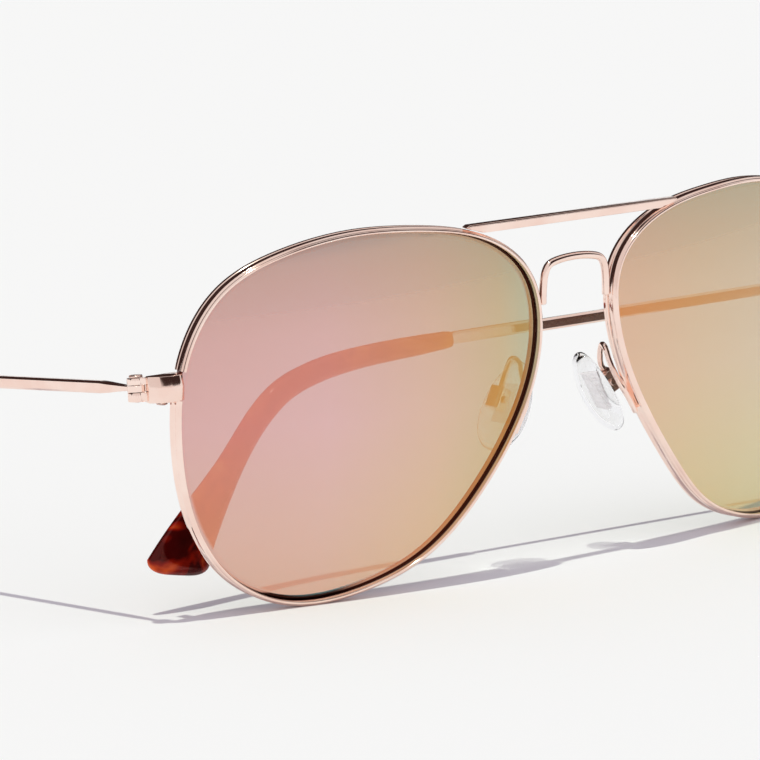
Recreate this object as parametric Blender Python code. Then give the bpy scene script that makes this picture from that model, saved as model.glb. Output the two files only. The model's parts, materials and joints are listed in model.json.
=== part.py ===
"""Aviator sunglasses: left temple open, right temple folded. Sizes are in millimetres, angles in degrees.

The front is modelled in its own frame: X across, Y to the back, Z up, with the centre plane at X = 0.
Nodes named left lie at low X and nodes named right at high X. An empty then leans the front onto its
resting points.
"""

import math

import bmesh
import bpy
import numpy as np
from mathutils import Matrix, Vector

MM = 0.001
SIDES = {"left": -1, "right": 1}

# Lenses and rims. An outline point is (across towards the temple, up) from the lens centre.
LENS_OUTLINE = (
    (27.4, 9.4), (21.9, 18.4), (12.4, 23.0), (1.9, 24.8), (-8.7, 24.5), (-19.2, 22.4),
    (-27.3, 16.0), (-27.8, 5.5), (-23.5, -4.2), (-17.2, -12.7), (-9.4, -19.9), (0.5, -23.9),
    (11.1, -24.8), (20.6, -20.4), (26.4, -11.6), (28.4, -1.2),
)
LENS_OFFSET = 36.05
LENS_WRAP = 9.7
LENS_RADIUS = 111.0
LENS_THICKNESS = 1.6
LENS_EDGE_GAP = 0.05
BEVEL_HEIGHT = 0.28
RIM_WIDTH = 0.7
RIM_LIP = 1.26
RIM_BACK = 1.0
GROOVE_DEPTH = 0.36
GROOVE_MIDDLE = 0.5
GROOVE_HALF = 0.45
RIM_STATIONS = 112
LENS_STATIONS = 80
LENS_RINGS = (0.25, 0.5, 0.75, 0.92)
BEVEL_START = 0.12
BEVEL_END = 0.88

# End pieces and closing blocks, in front view heights and plan points (x, y).
BLOCK_BOTTOM = 4.8
BLOCK_TOP = 8.35
RIM_TOP_GAP = 0.06
RIM_SLIT = 0.14
BLOCK_PLAN = (
    (63.3, 7.2), (64.1, 6.95), (65.6, 6.95), (67.2, 7.4), (68.5, 8.25), (68.25, 9.45), (63.2, 9.45),
)
BLOCK_CREASE = 6.75
BLOCK_SLOPE = 0.42
BLOCK_REAR = 9.45
BLOCK_BEVEL = 0.14
LUG_TOP = 5.5
LOCK_PLAN = (63.45, 65.2, 9.8, 11.7)
LOCK_BOTTOM = 4.05
LOCK_SCREW_PLACE = (64.35, 10.8)
LOCK_SCREW_RADIUS = 0.42
LOCK_HEAD_RADIUS = 0.8
LOCK_HEAD_HEIGHT = 0.2
LOCK_SLOT_DEPTH = 0.12

# Hinges. The axis leans back with the temples' droop and a little inwards.
HINGE_PLACE = (68.9, 10.45, 6.6)
TEMPLE_DROOP = 7.0
HINGE_LEAN = 0.5
FOLDED = {"left": 0.0, "right": 86.2}
KNUCKLE_RADIUS = 1.25
KNUCKLE_TOP = 1.45
KNUCKLE_BOTTOM = -1.75
KNUCKLE_FRONT = -1.7
KNUCKLE_BEVEL = 0.12
KNUCKLE_GAP = 0.5
KNUCKLE_START = -85.0
KNUCKLE_NECK = 0.95
EYE_HALF = 0.44
RELIEF_RADIUS = 1.42
HINGE_BORE = 0.5
HINGE_SCREW_RADIUS = 0.44
HINGE_HEAD_RADIUS = 0.95
HEAD_HEIGHT = 0.32
SLOT_WIDTH = 0.24
SLOT_DEPTH = 0.18

# Temples, in the hinge's frame: distance back along the bar, half width, half height.
TEMPLE_STATIONS = (
    (0.7, 0.55, 0.38), (2.2, 0.5, 0.4), (3.8, 0.55, 0.52), (5.6, 0.62, 0.72), (7.6, 0.65, 0.85),
    (9.0, 0.65, 0.87), (30.0, 0.65, 0.87), (55.0, 0.65, 0.87), (76.6, 0.65, 0.87),
)
CORE_HALF_WIDTH = 0.42
CORE_HALF_HEIGHT = 0.5
CORE_START = 77.1
CORE_END = 117.0
CHAMFER = 0.3
BORE_CLEARANCE = 0.06

# Tip covers: matching points of the upper and lower edge (back, up), and half thicknesses.
TIP_UPPER = (
    (77.5, 1.1), (84.0, 1.15), (91.0, 1.0), (98.0, 0.5), (103.5, -0.5), (108.3, -2.2), (112.3, -5.0),
    (115.5, -8.2), (118.6, -11.4), (121.8, -14.2), (125.2, -17.0), (129.0, -20.4), (132.0, -23.4),
)
TIP_LOWER = (
    (77.5, -1.35), (84.2, -1.75), (91.0, -2.05), (97.0, -2.6), (101.5, -3.4), (105.6, -4.7), (108.9, -6.7),
    (112.0, -9.5), (114.7, -12.8), (117.0, -16.2), (119.2, -19.9), (120.9, -23.0), (122.0, -25.3),
)
TIP_HALF_THICKNESS = (1.15, 1.25, 1.3, 1.35, 1.4, 1.4, 1.4, 1.4, 1.35, 1.3, 1.25, 1.2, 1.1)
TIP_END_RINGS = ((0.55, 0.95, 0.93), (0.95, 0.72, 0.66), (1.15, 0.4, 0.3))
TIP_END_REACH = 1.9

# Bridge and top bar, in front view.
BRIDGE_POINTS = ((6.0, 12.4), (5.98, 13.6), (5.9, 15.0), (5.7, 16.3), (5.1, 17.5), (3.8, 18.1), (1.8, 18.38))
BRIDGE_TOP = 18.45
BRIDGE_DEPTH_PLACE = -0.6
BRIDGE_RADIUS = 0.55
BAR_HALF_LENGTH = 19.9
BAR_BOTTOM = 23.45
BAR_TOP = 24.75
BAR_FRONT = -0.5
BAR_REAR = 0.8
BAR_END_CUT = 0.5
SOLDER_GAP = 0.06

# Nose pads and their arms. A pad's frame has X away from the nose, Z up its length.
PAD_PLACE = (10.4, 3.4, -1.2)
PAD_SPLAY = 29.0
PAD_TURN = 8.0
ARM_FOOT = ((-4.4, 0.1), (-2.2, 0.2), (0.0, 0.7))
ARM_GAP = 0.14
ARM_POINTS = ((8.35, 0.95, 2.2), (8.2, 1.5, 3.7), (8.4, 2.4, 4.4), (8.65, 3.15, 3.6))
ARM_END = ((0.2, 1.5), (0.2, 0.25))
ARM_RADIUS = 0.42
BOX_SIZE = (2.2, 2.1, 3.3)
BOX_POCKET = (1.85, 1.04, 2.7)
PAD_LENGTH = 13.4
PAD_WIDTH = 7.6
PAD_FACE = -3.55
PAD_REAR = -1.5
PAD_CENTRE_DROP = -0.3
PAD_POCKET = (0.62, 2.7, 6.2)
INSERT_PLATE = (0.45, 2.5, 5.9)
INSERT_RIBS = 6
PAD_SCREW_RADIUS = 0.3
PAD_BORE = 0.34
PAD_HEAD_RADIUS = 0.55

# The front leans forward until both rims and the open temple's tip stand on the ground.
STAND_LEAN = 4.4

METAL = ("rose_gold", (0.83, 0.56, 0.48), 1.0, 0.16)
DARK_METAL = ("screw_steel", (0.45, 0.32, 0.28), 1.0, 0.3)
LENS = ("mirror_lens", (0.72, 0.5, 0.45), 0.6, 0.06)
TORTOISE = ("tortoise_acetate", (0.09, 0.015, 0.01), 0.0, 0.12)
CLEAR = ("clear_silicone", (0.88, 0.88, 0.9), 0.0, 0.15)


def clear_scene():
    for item in list(bpy.data.objects):
        bpy.data.objects.remove(item)


def material(settings):
    name, colour, metallic, roughness = settings
    made = bpy.data.materials.get(name)
    if made is None:
        made = bpy.data.materials.new(name)
        made.use_nodes = True
        shader = made.node_tree.nodes["Principled BSDF"]
        shader.inputs["Base Color"].default_value = (*colour, 1.0)
        shader.inputs["Metallic"].default_value = metallic
        shader.inputs["Roughness"].default_value = roughness
    return made


def add_empty(name, parent=None, place=(0, 0, 0), turn=None):
    empty = bpy.data.objects.new(name, None)
    bpy.context.scene.collection.objects.link(empty)
    empty.parent = parent
    empty.location = Vector(place) * MM
    if turn is not None:
        empty.rotation_euler = turn.to_euler()
    return empty


def add_solid(name, shape, parent, settings):
    """An object from a bmesh in millimetres, its faces turned outwards and shaded smooth between creases."""
    bmesh.ops.scale(shape, vec=(MM, MM, MM), verts=shape.verts)
    bmesh.ops.recalc_face_normals(shape, faces=shape.faces)
    mesh = bpy.data.meshes.new(name)
    shape.to_mesh(mesh)
    shape.free()
    mesh.shade_smooth()
    mesh.set_sharp_from_angle(angle=math.radians(35))
    made = bpy.data.objects.new(name, mesh)
    made.data.materials.append(material(settings))
    bpy.context.scene.collection.objects.link(made)
    made.parent = parent
    return made


def combine(target, operation, name, shape, parent=None):
    """Joins a hidden helper solid to the target, or cuts it away."""
    helper = add_solid(name, shape, parent or target.parent, METAL)
    helper.hide_render = True
    helper.display_type = "WIRE"
    modifier = target.modifiers.new(name, "BOOLEAN")
    modifier.operation = operation
    modifier.object = helper


def smooth_curve(points, steps, closed=False):
    """Points on the cubic spline through the given points, this many steps to a span."""
    points = np.array(points, float)
    count = len(points)
    system = 4 * np.eye(count) + np.eye(count, k=1) + np.eye(count, k=-1)
    load = 6 * (np.roll(points, 1, axis=0) - 2 * points + np.roll(points, -1, axis=0))
    if closed:
        system[0, -1] = system[-1, 0] = 1
    else:
        system[0] = np.eye(count)[0]
        system[-1] = np.eye(count)[-1]
        load[[0, -1]] = 0
    bend = np.linalg.solve(system, load)
    curve = []
    for start in range(count if closed else count - 1):
        end = (start + 1) % count
        for step in range(steps):
            far = step / steps
            near = 1 - far
            bow = (near**3 - near) * bend[start] + (far**3 - far) * bend[end]
            curve.append(near * points[start] + far * points[end] + bow / 6)
    if not closed:
        curve.append(points[-1])
    return np.array(curve)


def loft(rings, closed_path=False):
    """A closed surface through rings of equal length, with end caps unless the path closes."""
    shape = bmesh.new()
    rows = [[shape.verts.new(point) for point in ring] for ring in rings]
    sides = len(rows[0])
    spans = len(rows) if closed_path else len(rows) - 1
    for row in range(spans):
        this, following = rows[row], rows[(row + 1) % len(rows)]
        for side in range(sides):
            other = (side + 1) % sides
            shape.faces.new((this[side], this[other], following[other], following[side]))
    if not closed_path:
        shape.faces.new(rows[0])
        shape.faces.new(reversed(rows[-1]))
    return shape


def box(low, high):
    shape = bmesh.new()
    size = [b - a for a, b in zip(low, high)]
    middle = [(a + b) / 2 for a, b in zip(low, high)]
    bmesh.ops.create_cube(shape, size=1, matrix=Matrix.Translation(middle) @ Matrix.Diagonal((*size, 1)))
    return shape


def bevelled(shape, width, segments=2):
    bmesh.ops.bevel(
        shape, geom=shape.edges[:], offset=width, segments=segments, profile=0.5, affect="EDGES"
    )
    return shape


def disc_stack(levels, sides=24, turn=None, place=(0, 0, 0)):
    """A turned solid: (height, radius) levels along Z, then turned and placed."""
    matrix = Matrix.Translation(place) @ (turn or Matrix.Identity(3)).to_4x4()
    rings = []
    for height, radius in levels:
        ring = []
        for side in range(sides):
            angle = math.tau * side / sides
            ring.append(matrix @ Vector((radius * math.cos(angle), radius * math.sin(angle), height)))
        rings.append(ring)
    return loft(rings)


def wire(points, radius, steps=4, sides=12):
    """A round wire along the spline through the points, with slightly rounded ends."""
    path = [Vector(point) for point in smooth_curve(points, steps)]
    heading = (path[1] - path[0]).normalized()
    across = heading.orthogonal().normalized()
    rings = []
    for index, place in enumerate(path):
        ahead = (path[min(index + 1, len(path) - 1)] - path[max(index - 1, 0)]).normalized()
        across = (across - ahead * across.dot(ahead)).normalized()
        up = ahead.cross(across)
        for shift, share in end_rounding(index, len(path), radius):
            ring = []
            for side in range(sides):
                angle = math.tau * side / sides
                spoke = across * math.cos(angle) + up * math.sin(angle)
                ring.append(place + ahead * shift + spoke * radius * share)
            rings.append(ring)
    return loft(rings)


def end_rounding(index, count, radius):
    if index == 0:
        return ((-0.35 * radius, 0.6), (0.0, 1.0))
    if index == count - 1:
        return ((0.0, 1.0), (0.35 * radius, 0.6))
    return ((0.0, 1.0),)


def outline_curve(steps):
    """The lens outline and its outward normals."""
    curve = smooth_curve(LENS_OUTLINE, steps, closed=True)
    along = np.roll(curve, -1, axis=0) - np.roll(curve, 1, axis=0)
    along /= np.linalg.norm(along, axis=1)[:, None]
    return curve, np.stack([along[:, 1], -along[:, 0]], axis=1)


def lens_point(side, across, up, depth):
    """A place on the wrapped lens surface, or this far behind it, in the front's frame."""
    sag = LENS_RADIUS - math.sqrt(LENS_RADIUS**2 - across**2 - up**2) + depth
    wrap = math.radians(LENS_WRAP)
    x = LENS_OFFSET + across * math.cos(wrap) - sag * math.sin(wrap)
    y = across * math.sin(wrap) + sag * math.cos(wrap)
    return Vector((x * SIDES[side], y, up))


def rim_stations():
    """Evenly spaced outline points and normals, leaving out the stretch that the end piece closes."""
    curve, normals = outline_curve(60)
    on_temple_side = curve[:, 0] > 20
    above = np.flatnonzero(on_temple_side & (curve[:, 1] > BLOCK_TOP + RIM_TOP_GAP) & (curve[:, 1] < 12))
    below = np.flatnonzero(on_temple_side & (curve[:, 1] < BLOCK_BOTTOM - RIM_SLIT) & (curve[:, 1] > 0))
    first = above[np.argmin(curve[above, 1])]
    last = below[np.argmax(curve[below, 1])]
    count = (last - first) % len(curve)
    chosen = (first + np.linspace(0, count, RIM_STATIONS).round().astype(int)) % len(curve)
    return curve[chosen], normals[chosen]


def rim_section():
    """The eyewire's section: (outwards from the visible lens edge, behind the lens front)."""
    low = GROOVE_MIDDLE - GROOVE_HALF
    high = GROOVE_MIDDLE + GROOVE_HALF
    return (
        (0.0, low), (0.0, 0.12 - RIM_LIP), (0.12, -RIM_LIP), (0.4, -RIM_LIP), (0.46, 0.1 - RIM_LIP),
        (0.5, 0.16 - RIM_LIP), (RIM_WIDTH, 0.36 - RIM_LIP), (RIM_WIDTH, RIM_BACK - 0.15),
        (RIM_WIDTH - 0.15, RIM_BACK), (0.1, RIM_BACK), (0.0, high), (GROOVE_DEPTH, GROOVE_MIDDLE),
    )


def build_rim(side, front):
    rings = []
    for place, normal in zip(*rim_stations()):
        ring = []
        for outwards, depth in rim_section():
            across, up = place + normal * outwards
            ring.append(lens_point(side, across, up, depth))
        rings.append(ring)
    add_solid(f"rim_{side}", loft(rings), front, METAL)


def lens_shape(side, grow):
    """The lens with its edge bevel, grown by this much all round."""
    curve, normals = outline_curve(LENS_STATIONS // len(LENS_OUTLINE))
    edge = grow - LENS_EDGE_GAP
    rings = [(share, edge, -grow) for share in LENS_RINGS]
    rings.append((1.0, edge, -grow))
    rings.append((1.0, edge, BEVEL_START - grow))
    rings.append((1.0, BEVEL_HEIGHT + grow, GROOVE_MIDDLE))
    rings.append((1.0, edge, BEVEL_END + grow))
    rings.append((1.0, edge, LENS_THICKNESS + grow))
    rings += [(share, edge, LENS_THICKNESS + grow) for share in reversed(LENS_RINGS)]
    shape = bmesh.new()
    rows = []
    for share, outwards, depth in rings:
        places = (curve + normals * outwards) * share
        rows.append([shape.verts.new(lens_point(side, *place, depth)) for place in places])
    for row, following in zip(rows, rows[1:]):
        for index in range(len(row)):
            other = (index + 1) % len(row)
            shape.faces.new((row[index], row[other], following[other], following[index]))
    for row, depth in ((rows[0], -grow), (rows[-1], LENS_THICKNESS + grow)):
        middle = shape.verts.new(lens_point(side, 0, 0, depth))
        for index in range(len(row)):
            shape.faces.new((row[index], row[(index + 1) % len(row)], middle))
    return shape


def build_lens(side, front):
    add_solid(f"lens_{side}", lens_shape(side, 0.0), front, LENS)


def build_bridge(front):
    half = [(x, BRIDGE_DEPTH_PLACE, z) for x, z in BRIDGE_POINTS]
    mirrored = [(-x, y, z) for x, y, z in half]
    points = half + [(0, BRIDGE_DEPTH_PLACE, BRIDGE_TOP)] + mirrored[::-1]
    add_solid("bridge", wire(points, BRIDGE_RADIUS), front, METAL)


def build_top_bar(front):
    """A straight bar whose ends are shaped to lie along the tops of the rims."""
    curve, normals = outline_curve(30)
    seat = []
    for place, normal in zip(curve, normals):
        across, up = place + normal * (RIM_WIDTH + SOLDER_GAP)
        spot = lens_point("right", across, up, RIM_BACK)
        if spot.x < BAR_HALF_LENGTH and BAR_BOTTOM < spot.z < BAR_TOP and across < 0:
            seat.append((spot.x, spot.z))
    seat.sort()
    profile = seat[::3] + [
        (BAR_HALF_LENGTH, seat[-1][1] + 0.1),
        (BAR_HALF_LENGTH, BAR_TOP - BAR_END_CUT / 2),
        (BAR_HALF_LENGTH - BAR_END_CUT, BAR_TOP),
    ]
    profile = [(seat[0][0] - 0.6, BAR_BOTTOM)] + profile
    profile += [(-x, z) for x, z in reversed(profile)]
    rings = [[(x, y, z) for x, z in profile] for y in (BAR_FRONT, BAR_REAR)]
    shape = loft(rings)
    long_edges = [edge for edge in shape.edges if abs(edge.verts[0].co.y - edge.verts[1].co.y) < 1e-6]
    bmesh.ops.bevel(shape, geom=long_edges, offset=0.2, segments=2, profile=0.5, affect="EDGES")
    add_solid("top_bar", shape, front, METAL)


def prism(outline, low, high):
    return loft([[(x, y, z) for x, y in outline] for z in (low, high)])


def knuckle_plan(side):
    """A hinge tab's outline about the hinge axis: round, with a neck towards the block."""
    turns = np.radians(np.linspace(KNUCKLE_START, 180, 19))
    points = [(KNUCKLE_RADIUS * math.cos(a), KNUCKLE_RADIUS * math.sin(a)) for a in turns]
    points += [(-KNUCKLE_RADIUS, KNUCKLE_FRONT), (KNUCKLE_NECK - KNUCKLE_RADIUS, KNUCKLE_FRONT)]
    return [(x * SIDES[side], y) for x, y in points]


def build_end_piece(side, front, hinge):
    sign = SIDES[side]
    rings = []
    for height, slope in ((BLOCK_BOTTOM, 0.0), (BLOCK_CREASE, 0.0), (BLOCK_TOP, BLOCK_SLOPE)):
        rings.append([(x * sign, y if y == BLOCK_REAR else y + slope, height) for x, y in BLOCK_PLAN])
    piece = add_solid(f"end_piece_{side}", bevelled(loft(rings), BLOCK_BEVEL), front, METAL)
    for name, low, high in (("upper", KNUCKLE_GAP, KNUCKLE_TOP), ("lower", KNUCKLE_BOTTOM, -KNUCKLE_GAP)):
        tab = bevelled(prism(knuckle_plan(side), low, high), KNUCKLE_BEVEL)
        combine(piece, "UNION", f"{name}_tab_{side}", tab, hinge)
    x_low, x_high, _, y_high = LOCK_PLAN
    lug_corners = sorted((x_low * sign + 0.2 * sign, x_high * sign))
    lug = box((lug_corners[0], 8.9, BLOCK_BOTTOM), (lug_corners[1], y_high, LUG_TOP))
    combine(piece, "UNION", f"lock_lug_{side}", lug)
    reach = 3 * KNUCKLE_TOP
    relief = disc_stack(((-KNUCKLE_GAP, RELIEF_RADIUS), (KNUCKLE_GAP, RELIEF_RADIUS)), sides=32)
    combine(piece, "DIFFERENCE", f"eye_relief_{side}", relief, hinge)
    bore = disc_stack(((-reach, HINGE_BORE), (reach, HINGE_BORE)))
    combine(piece, "DIFFERENCE", f"hinge_bore_{side}", bore, hinge)
    place = (LOCK_SCREW_PLACE[0] * sign, LOCK_SCREW_PLACE[1], 0)
    hole = disc_stack(((BLOCK_BOTTOM - 1, HINGE_BORE), (LUG_TOP + 1, HINGE_BORE)), place=place)
    combine(piece, "DIFFERENCE", f"lug_hole_{side}", hole)
    combine(piece, "DIFFERENCE", f"lens_clearance_{side}", lens_shape(side, LENS_EDGE_GAP))


def build_rim_lock(side, front):
    """The closing block's lower half behind the rim's lower end, and the screw that draws it up."""
    sign = SIDES[side]
    x_low, x_high, y_low, y_high = LOCK_PLAN
    corners = sorted((x_low * sign, x_high * sign))
    top = BLOCK_BOTTOM - RIM_SLIT
    block = bevelled(box((corners[0], y_low, LOCK_BOTTOM), (corners[1], y_high, top)), 0.2)
    lock = add_solid(f"rim_lock_{side}", block, front, METAL)
    place = (LOCK_SCREW_PLACE[0] * sign, LOCK_SCREW_PLACE[1], 0)
    hole = disc_stack(((LOCK_BOTTOM - 1, HINGE_BORE), (top + 1, HINGE_BORE)), place=place)
    combine(lock, "DIFFERENCE", f"lock_hole_{side}", hole)
    low = LOCK_BOTTOM - SOLDER_GAP
    levels = (
        (low - LOCK_HEAD_HEIGHT, LOCK_HEAD_RADIUS * 0.85), (low - LOCK_HEAD_HEIGHT / 2, LOCK_HEAD_RADIUS),
        (low, LOCK_HEAD_RADIUS), (low, LOCK_SCREW_RADIUS), (LUG_TOP - 0.1, LOCK_SCREW_RADIUS),
    )
    screw = add_solid(f"rim_lock_screw_{side}", disc_stack(levels, place=place), front, DARK_METAL)
    head = low - LOCK_HEAD_HEIGHT
    slot = box(
        (place[0] - LOCK_HEAD_RADIUS * 2, place[1] - SLOT_WIDTH / 2, head - 1),
        (place[0] + LOCK_HEAD_RADIUS * 2, place[1] + SLOT_WIDTH / 2, head + LOCK_SLOT_DEPTH),
    )
    combine(screw, "DIFFERENCE", f"lock_slot_{side}", slot)


def build_hinge_screw(side, hinge):
    top = KNUCKLE_TOP + SOLDER_GAP
    levels = (
        (KNUCKLE_BOTTOM - 0.12, HINGE_SCREW_RADIUS * 0.8), (KNUCKLE_BOTTOM, HINGE_SCREW_RADIUS),
        (top, HINGE_SCREW_RADIUS), (top, HINGE_HEAD_RADIUS), (top + HEAD_HEIGHT * 0.6, HINGE_HEAD_RADIUS),
        (top + HEAD_HEIGHT, HINGE_HEAD_RADIUS * 0.85),
    )
    screw = add_solid(f"hinge_screw_{side}", disc_stack(levels), hinge, DARK_METAL)
    reach = HINGE_HEAD_RADIUS * 2
    slot = box(
        (-reach, -SLOT_WIDTH / 2, top + HEAD_HEIGHT - SLOT_DEPTH), (reach, SLOT_WIDTH / 2, top + 2)
    )
    combine(screw, "DIFFERENCE", f"hinge_slot_{side}", slot)


def bar_ring(place, heading, half_width, half_height, grow=0.0):
    """An eight-sided bar section in the temple's frame, square to its heading (back, up)."""
    width, height = half_width + grow, half_height + grow
    cut = CHAMFER if half_height > CORE_HALF_HEIGHT + 0.05 else CHAMFER / 2
    corners = (
        (width, height - cut), (width - cut, height), (cut - width, height), (-width, height - cut),
        (-width, cut - height), (cut - width, -height), (width - cut, -height), (width, cut - height),
    )
    back, up = heading
    return [Vector((x, place[0] - z * up, place[1] + z * back)) for x, z in corners]


def tip_edges():
    return smooth_curve(TIP_UPPER, 3), smooth_curve(TIP_LOWER, 3)


def core_rings(half_width, half_height, end, grow=0.0):
    """Sections of the core wire, straight at first and then along the middle of the tip cover."""
    upper, lower = tip_edges()
    middle = (upper + lower) / 2
    heading = np.gradient(middle, axis=0)
    heading /= np.linalg.norm(heading, axis=1)[:, None]
    rings = [bar_ring((CORE_START, 0), (1, 0), half_width, half_height, grow)]
    for place, direction in zip(middle[3:], heading[3:]):
        if place[0] < end:
            rings.append(bar_ring(place, direction, half_width, half_height, grow))
    return rings


def build_temple(side, pivot):
    rings = []
    for back, half_width, half_height in TEMPLE_STATIONS:
        rings.append(bar_ring((back, 0), (1, 0), half_width, half_height))
    rings += core_rings(CORE_HALF_WIDTH, CORE_HALF_HEIGHT, CORE_END)
    temple = add_solid(f"temple_{side}", loft(rings), pivot, METAL)
    eye = disc_stack(((-EYE_HALF, KNUCKLE_RADIUS), (EYE_HALF, KNUCKLE_RADIUS)), sides=32)
    combine(temple, "UNION", f"temple_eye_{side}", eye)
    bore = disc_stack(((-2, HINGE_BORE), (2, HINGE_BORE)))
    combine(temple, "DIFFERENCE", f"temple_bore_{side}", bore)


def build_temple_tip(side, pivot):
    """The acetate cover: a flattened sleeve that widens to a paddle, bored for the core wire."""
    upper, lower = tip_edges()
    thickness = smooth_curve([(value, 0) for value in TIP_HALF_THICKNESS], 3)[:, 0]
    rings = []
    for high, low, half in zip(upper, lower, thickness):
        rings.append(tip_ring(high, low, half))
    rings[0] = tip_ring(upper[0], lower[0], thickness[0] * 0.9)
    run = np.array([upper[-1][0] - lower[-1][0], upper[-1][1] - lower[-1][1]])
    outwards = np.array([run[1], -run[0]]) / np.linalg.norm(run)
    middle = (upper[-1] + lower[-1]) / 2
    for shift, length_share, width_share in TIP_END_RINGS:
        centre = middle + outwards * TIP_END_REACH * shift / TIP_END_RINGS[-1][0]
        half = run / 2 * length_share
        rings.append(tip_ring(centre + half, centre - half, thickness[-1] * width_share))
    cover = add_solid(f"temple_tip_{side}", loft(rings), pivot, TORTOISE)
    start = bar_ring((CORE_START - 1, 0), (1, 0), CORE_HALF_WIDTH, CORE_HALF_HEIGHT, BORE_CLEARANCE)
    bore_rings = [start] + core_rings(CORE_HALF_WIDTH, CORE_HALF_HEIGHT, CORE_END + 1, BORE_CLEARANCE)
    combine(cover, "DIFFERENCE", f"tip_bore_{side}", loft(bore_rings))


def tip_ring(high, low, half, sides=16):
    centre = (np.array(high) + low) / 2
    reach = (np.array(high) - low) / 2
    ring = []
    for side in range(sides):
        angle = math.tau * (side + 0.5) / sides
        squared = math.cos(angle), math.sin(angle)
        lift, swell = (math.copysign(abs(part) ** 0.8, part) for part in squared)
        back, up = centre + reach * lift
        ring.append(Vector((half * swell, back, up)))
    return ring


def build_pad_arm(side, front, pad_turn):
    """A wire that leaves the rim's nose side, rises and loops back down to the pad's bracket."""
    sign = SIDES[side]
    curve, normals = outline_curve(40)
    nose_side = np.flatnonzero(curve[:, 0] < 0)
    points = []
    for height, depth in ARM_FOOT:
        index = nose_side[np.argmin(abs(curve[nose_side, 1] - height) - (curve[nose_side, 0] < -20))]
        across, up = curve[index] + normals[index] * (RIM_WIDTH + ARM_GAP + ARM_RADIUS)
        points.append(lens_point(side, across, up, depth))
    points += [(x * sign, y, z) for x, y, z in ARM_POINTS]
    pad_place = Vector((PAD_PLACE[0] * sign, *PAD_PLACE[1:]))
    for x, above in ARM_END:
        points.append(pad_place + pad_turn @ Vector((x * sign, 0, BOX_SIZE[2] / 2 + above)))
    add_solid(f"pad_arm_{side}", wire(points, ARM_RADIUS, sides=10), front, METAL)


def build_pad_box(side, mount):
    """The bracket that holds the pad's lug, open towards the pad, and the screw across it."""
    sign = SIDES[side]
    half = [value / 2 for value in BOX_SIZE]
    shape = bevelled(box([-value for value in half], half), 0.2)
    bracket = add_solid(f"pad_box_{side}", shape, mount, METAL)
    depth, width, height = BOX_POCKET
    pocket = sorted((-half[0] * sign - sign, (depth - half[0]) * sign))
    cutter = box((pocket[0], -width / 2, -height / 2), (pocket[1], width / 2, height / 2))
    combine(bracket, "DIFFERENCE", f"box_pocket_{side}", cutter)
    turn = Matrix.Rotation(math.radians(90), 3, "X")
    bore = disc_stack(((-half[1] * 2, PAD_BORE), (half[1] * 2, PAD_BORE)), sides=16, turn=turn)
    combine(bracket, "DIFFERENCE", f"box_bore_{side}", bore)
    face = half[1] + 0.04
    levels = (
        (-half[1], PAD_SCREW_RADIUS), (face, PAD_SCREW_RADIUS), (face, PAD_HEAD_RADIUS),
        (face + 0.2, PAD_HEAD_RADIUS), (face + 0.3, PAD_HEAD_RADIUS * 0.7),
    )
    add_solid(f"pad_screw_{side}", disc_stack(levels, sides=16, turn=turn), mount, DARK_METAL)


def pad_ring(depth, share, sides=28):
    """A section of the pad: a rounded teardrop, wider at the bottom."""
    ring = []
    for side in range(sides):
        angle = math.tau * side / sides
        lift = math.sin(angle)
        width = PAD_WIDTH / 2 * math.cos(angle) * (1 - 0.16 * lift)
        ring.append((depth, width * share, PAD_CENTRE_DROP + PAD_LENGTH / 2 * lift * share))
    return ring


def build_nose_pad(side, pivot):
    """The clear pad, crowned towards the nose, with a pocket behind it for the metal insert."""
    sign = SIDES[side]
    body = PAD_REAR - PAD_FACE
    levels = ((0.0, 0.62), (0.1, 0.8), (0.3, 0.94), (0.6, 1.0), (0.85, 0.98), (1.0, 0.86))
    rings = [[(x * sign, y, z) for x, y, z in pad_ring(PAD_FACE + body * d, share)] for d, share in levels]
    pad = add_solid(f"nose_pad_{side}", loft(rings), pivot, CLEAR)
    depth, width, height = PAD_POCKET
    ends = sorted(((PAD_REAR - depth) * sign, (PAD_REAR + 1) * sign))
    cutter = box((ends[0], -width / 2, -height / 2), (ends[1], width / 2, height / 2))
    combine(pad, "DIFFERENCE", f"pad_pocket_{side}", cutter)


def build_pad_insert(side, pivot):
    """The ribbed metal plate inside the pad, with the lug that the screw goes through."""
    sign = SIDES[side]
    thickness, width, height = INSERT_PLATE
    floor = PAD_REAR - PAD_POCKET[0] + SOLDER_GAP
    ends = sorted((floor * sign, (floor + thickness) * sign))
    plate = bevelled(box((ends[0], -width / 2, -height / 2), (ends[1], width / 2, height / 2)), 0.1)
    insert = add_solid(f"pad_insert_{side}", plate, pivot, METAL)
    pitch = height / INSERT_RIBS
    for rib in range(1, INSERT_RIBS):
        z = rib * pitch - height / 2
        groove_ends = sorted(((floor - 1) * sign, (floor + 0.16) * sign))
        groove = box((groove_ends[0], -width, z - 0.16), (groove_ends[1], width, z + 0.16))
        combine(insert, "DIFFERENCE", f"rib_groove_{rib}_{side}", groove)
    lug_half = BOX_POCKET[1] / 2 - SOLDER_GAP
    start = floor + thickness / 2
    outline = [(start, -0.65), (start, 0.65)]
    outline += [(0.65 * math.cos(a), 0.65 * math.sin(a)) for a in np.linspace(math.pi / 2, -math.pi / 2, 9)]
    rings = [[(x * sign, y, z) for x, z in outline] for y in (-lug_half, lug_half)]
    combine(insert, "UNION", f"insert_lug_{side}", loft(rings))
    turn = Matrix.Rotation(math.radians(90), 3, "X")
    bore = disc_stack(((-3, PAD_BORE), (3, PAD_BORE)), sides=16, turn=turn)
    combine(insert, "DIFFERENCE", f"insert_bore_{side}", bore)


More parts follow.
